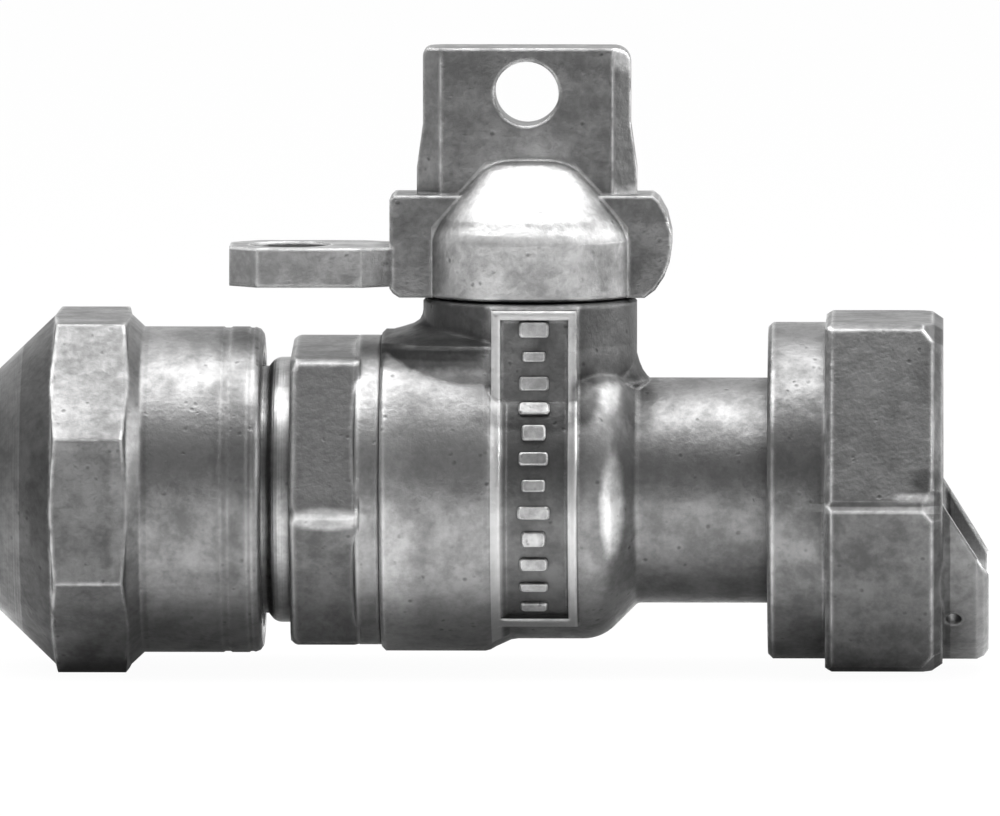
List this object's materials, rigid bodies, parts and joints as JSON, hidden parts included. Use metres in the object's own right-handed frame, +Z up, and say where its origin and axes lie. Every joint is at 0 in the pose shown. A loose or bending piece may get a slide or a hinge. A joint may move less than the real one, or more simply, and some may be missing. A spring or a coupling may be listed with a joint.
{
  "type": "ball meter valve",
  "caption": "Straight ball valve for a water meter: octagonal compression nut, hexed end piece, cast body with lockable tee head, and swivelling saddle nut with half cradle.",
  "frame": {"origin": "on the pipe axis where the meter thread starts, 0.4 mm in front of the meter washer's face; the stem axis is 37.2 mm behind it", "axes": "+X along the pipe towards the meter, +Z up along the stem, +Y away from the pictured side"},
  "size_m": [0.1121, 0.0559, 0.0699],
  "materials": {
    "cast_bronze": "as cast, matt, bead-blasted grain",
    "turned_bronze": "turned, satin",
    "stainless": "satin",
    "plated_ball": "polished",
    "seat_plastic": "waxy white",
    "seal_rubber": "matt black"
  },
  "bodies": {
    "valve": {"valve_body": "cast_bronze", "end_piece": "cast_bronze", "body_o_ring": "seal_rubber", "inlet_seat": "seat_plastic", "outlet_seat": "seat_plastic", "inlet_seat_o_ring": "seal_rubber", "outlet_seat_o_ring": "seal_rubber", "meter_washer": "seal_rubber"},
    "head": {"tee_head": "cast_bronze", "head_pin": "stainless", "stem": "turned_bronze", "stem_washer": "seat_plastic", "stem_o_ring_lower": "seal_rubber", "stem_o_ring_upper": "seal_rubber"},
    "ball": {"ball": "plated_ball"},
    "swivel_ring": {"retaining_ring": "stainless"},
    "meter_nut": {"saddle_nut": "cast_bronze"},
    "packing": {"gripper_band": "stainless", "contact_ring": "turned_bronze", "compression_gasket": "seal_rubber"},
    "inlet_nut": {"compression_nut": "cast_bronze"}
  },
  "joints": [
    {"name": "quarter_turn", "type": "hinge", "parent": "valve", "child": "head", "pos_m": [-0.0372, 0, 0], "axis": [0, 0, 1], "range_deg": [-90, 0]},
    {"name": "ball_turn", "type": "hinge", "parent": "valve", "child": "ball", "pos_m": [-0.0372, 0, 0], "axis": [0, 0, 1], "range_deg": [-90, 0]},
    {"name": "ring_spin", "type": "hinge", "parent": "valve", "child": "swivel_ring", "pos_m": [0, 0, 0], "axis": [1, 0, 0], "continuous": true},
    {"name": "nut_slide", "type": "slide", "parent": "swivel_ring", "child": "meter_nut", "axis": [-1, 0, 0], "range_m": [0, 0.0125]},
    {"name": "packing_slide", "type": "slide", "parent": "valve", "child": "packing", "axis": [-1, 0, 0], "range_m": [0, 0.0122]},
    {"name": "nut_turn", "type": "hinge", "parent": "packing", "child": "inlet_nut", "pos_m": [-0.0822, 0, 0], "axis": [-1, 0, 0], "range_deg": [0, 1980]}
  ],
  "couplings": [
    {"joint": "ball_turn", "follows": "quarter_turn", "ratio": 1},
    {"joint": "packing_slide", "follows": "nut_turn", "m_per_rad": 0.00035157}
  ]
}
